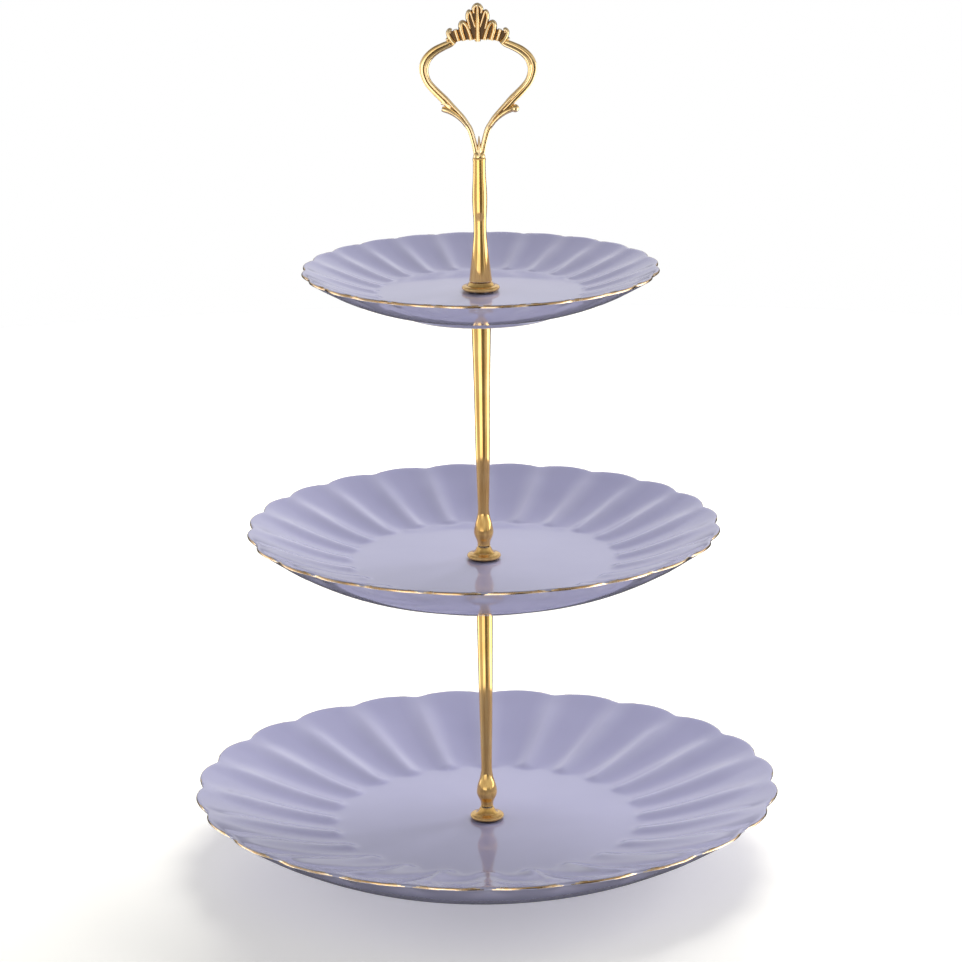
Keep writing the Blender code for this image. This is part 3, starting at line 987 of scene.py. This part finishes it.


# %% [markdown]
# How sharply the surface bends is measured from the mesh: along each edge, how far the surface turns away
# from its own normal. The gold paints outward bends pale as a highlight and hollows dark as shade. In the
# slits between the crown's fingers the bend is set to hollow outright, so that they are painted as shade.

# %% Measure the bends


def measure_bends(piece, hollow=None):
    """Keeps the bend of the surface as an attribute: 0.5 is flat, edges are above it and hollows below."""
    mesh = piece.data
    places = np.empty(len(mesh.vertices) * 3)
    normals = np.empty(len(mesh.vertices) * 3)
    ends = np.empty(len(mesh.edges) * 2, int)
    mesh.vertices.foreach_get("co", places)
    mesh.vertices.foreach_get("normal", normals)
    mesh.edges.foreach_get("vertices", ends)
    places, normals, ends = places.reshape(-1, 3) / MM, normals.reshape(-1, 3), ends.reshape(-1, 2)
    first, second = np.concatenate([ends, ends[:, ::-1]]).T
    step = places[first] - places[second]
    curve = (normals[first] * step).sum(axis=1) / np.maximum((step**2).sum(axis=1), 1e-6)
    around = np.maximum(np.bincount(first, minlength=len(places)), 1)
    bend = np.bincount(first, curve, len(places)) / around
    bend = np.clip(0.5 + 0.5 * bend, 0, 1)
    # Hollow points get the gold's painted shade.
    if hollow:
        bend[hollow(places)] = 0.0
    mesh.attributes.new("bend", "FLOAT", "POINT").data.foreach_set("value", bend)


def slits(places):
    """The web between the fingers of the crown, which is painted dark as shade."""
    return (np.abs(places[:, 1]) < WEB_DEPTH + 0.05) & (places[:, 2] > loop_z + 49.5)


# %% [markdown]
# Each piece gets the finish of its kind. The foot rings are marked by height as bare, and the gold pieces
# get their bends.

# %% Give each piece its finish
RICH = ((0.96, 0.57, 0.15), (0.98, 0.65, 0.22))
PALE = ((0.93, 0.62, 0.25), (0.96, 0.71, 0.35))
BROWNED = ((0.36, 0.22, 0.13), (0.74, 0.54, 0.37))
FINISHES = {
    "lavender_glaze": make_glaze(),
    "polished_gold": make_gold("polished_gold", RICH, 0.045, 0.1, 0.5, 0.7),
    "cast_gold": make_gold("cast_gold", PALE, 0.12, 0.2, 0.2, 0.92),
    "rim_gold": make_gold("rim_gold", BROWNED, 0.15, 0.35, 0.6, 1.0),
    "bright_steel": make_steel(),
    "clear_pad": make_pad(),
}
for tier, plate in PLATES.items():
    mesh = pieces[tier + "_plate_glazed"].data
    foot = plate["foot_z"] + 0.45
    bare = mesh.attributes.new("bare", "FLOAT", "POINT")
    bare.data.foreach_set("value", [1.0 if point.co.z / MM < foot else 0.0 for point in mesh.vertices])
for name, piece in pieces.items():
    if "rod_turned" in name or "rosette" in name or "handle" in name or "gilding" in name:
        measure_bends(piece, slits if "cast" in name else None)
    finish = (
        "lavender_glaze" if "plate_glazed" in name
        else "clear_pad" if "_pad_" in name
        else "bright_steel" if "screw" in name or "washer" in name or "stud" in name
        else "cast_gold" if "cast" in name
        else "rim_gold" if "gilding" in name
        else "polished_gold"
    )
    piece.data.materials.clear()
    piece.data.materials.append(FINISHES[finish])

# %% [markdown]
# ## Stage, light and camera
# A pale round floor lies under a white sky. It glows faintly, in place of the light that the white walls
# of a studio throw back, and it is kept out of the gloss, so that what the metal mirrors is chosen in the
# sky alone.

# %% Stage
deselect_all()
bpy.ops.mesh.primitive_circle_add(vertices=96, radius=1.1, fill_type="NGON", location=CENTRE)
floor = named("floor")
material, tree, shader = new_material("pale_floor")
paper = ramp(tree, noise_of(tree, 3.0, 2.0), (0.3, (0.92, 0.90, 0.82)), (0.7, (0.94, 0.92, 0.84)))
tree.links.new(paper, shader.inputs["Base Color"])
shader.inputs["Roughness"].default_value = 0.3
shader.inputs["Emission Color"].default_value = (1.0, 1.0, 1.0, 1.0)
shader.inputs["Emission Strength"].default_value = 0.24
floor.data.materials.append(material)
floor.visible_glossy = False
floor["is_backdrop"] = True

# %% [markdown]
# The sky is white to the camera. What the object reflects is another matter: round the sides the studio
# alternates between white panels and dark gaps, as a studio is set up for metal, and above it is bright.

# %% Sky and panels
scene = bpy.context.scene
scene.view_settings.view_transform = "Standard"
world = bpy.data.worlds.new("studio")
scene.world = world
world.use_nodes = True
tree = world.node_tree
place = add(tree, "TexCoord")
turned = add(tree, "Mapping", Rotation=(0, 0, math.pi / 2))
tree.links.new(place.outputs["Generated"], turned.inputs["Vector"])
around = add(tree, "TexGradient", gradient_type="RADIAL")
tree.links.new(turned.outputs["Vector"], around.inputs["Vector"])
PANELS = [
    (-180, 0.05), (-134, 0.05), (-122, 2.6), (-102, 2.3), (-92, 0.75), (-48, 0.65), (-38, 2.3), (-4, 2.2),
    (2, 0.09), (38, 0.08), (46, 1.3), (54, 0.5), (68, 0.5), (78, 3.6), (116, 3.4), (128, 0.05),
    (180, 0.05),
]
panels = ramp(tree, around.outputs["Fac"], *[((turn_by + 180) / 360, shade) for turn_by, shade in PANELS])
split = add(tree, "SeparateXYZ")
tree.links.new(place.outputs["Generated"], split.inputs["Vector"])
CEILING = [(0.1, 0.75), (0.4, 0.7), (0.6, 0.3), (0.8, 0.2), (1.0, 0.3)]
ceiling = ramp(tree, split.outputs["Z"], *CEILING)
shiny = mix(tree, ramp(tree, split.outputs["Z"], (0.0, 0.0), (0.16, 1.0)), panels, ceiling)


def background(colour, strength):
    node = add(tree, "Background", Strength=strength)
    if isinstance(colour, tuple):
        node.inputs["Color"].default_value = (*colour, 1.0)
    else:
        tree.links.new(colour, node.inputs["Color"])
    return node.outputs["Background"]


def choose(test, off, on):
    node = add(tree, "MixShader")
    for socket, value in zip(node.inputs, (test, off, on)):
        tree.links.new(value, socket)
    return node.outputs["Shader"]


path = add(tree, "LightPath")
daylight = background((0.97, 0.97, 1.0), 0.4)
soft_or_shiny = choose(path.outputs["Is Glossy Ray"], daylight, background(shiny, 1.0))
seen = choose(path.outputs["Is Camera Ray"], soft_or_shiny, background((1.0, 1.0, 1.0), 1.0))
tree.links.new(seen, tree.nodes["World Output"].inputs["Surface"])

# %% [markdown]
# Three soft boxes light the stand: a large one overhead from behind, a strong one on the right and a weak
# one on the left. They are kept out of the gloss too, because their sharp outlines would show in the
# glaze.

# %% Lights


def soft_light(name, place, target, size, power):
    """A rectangular soft box that faces the target."""
    deselect_all()
    aim = (Vector(target) - Vector(place)).to_track_quat("-Z", "Y").to_euler()
    bpy.ops.object.light_add(type="AREA", location=place, rotation=aim)
    light = bpy.context.active_object
    light.name = name
    light.data.shape = "RECTANGLE"
    light.data.size, light.data.size_y = size
    light.data.energy = power
    light.visible_camera = False
    light.visible_glossy = False


MIDDLE = (0, 0, 0.2)
soft_light("overhead", (0.3, 1.1, 1.4), MIDDLE, (0.9, 0.7), 23)
soft_light("left_box", (-1.7, 0.3, 0.6), MIDDLE, (0.8, 1.0), 7)
soft_light("right_box", (1.8, 0.9, 0.7), MIDDLE, (0.8, 1.0), 22)

# %% [markdown]
# The camera stands a metre and a half away, higher than the handle, and looks down by fifteen degrees
# through a long lens. A slight roll and shift frame the stand.

# %% Camera
DISTANCE = 1.534
HEIGHT = 0.585
DOWN = 15.22
ROLL = 0.7
SHIFT = -0.0022
deselect_all()
bpy.ops.object.camera_add(location=(0.0, -DISTANCE, HEIGHT), rotation=(math.radians(90 - DOWN), 0, 0))
camera = bpy.context.active_object
bpy.ops.transform.rotate(value=math.radians(ROLL), orient_axis="Z", orient_type="LOCAL")
camera.data.shift_x = SHIFT
camera.data.lens = 138.7
camera.data.sensor_width = 36
scene.camera = camera

# %% [markdown]
# ## Measure and finish
# The sizes of the visible stand and of the plain solids are both printed. The visible
# stand has to fill the same box as the plain solids.

# %% Sizes
finished_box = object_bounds()
for label, (low_corner, high_corner) in (("frame", cad_box), ("visual", finished_box)):
    print(label, [round((high - low) / MM, 1) for low, high in zip(low_corner, high_corner)])
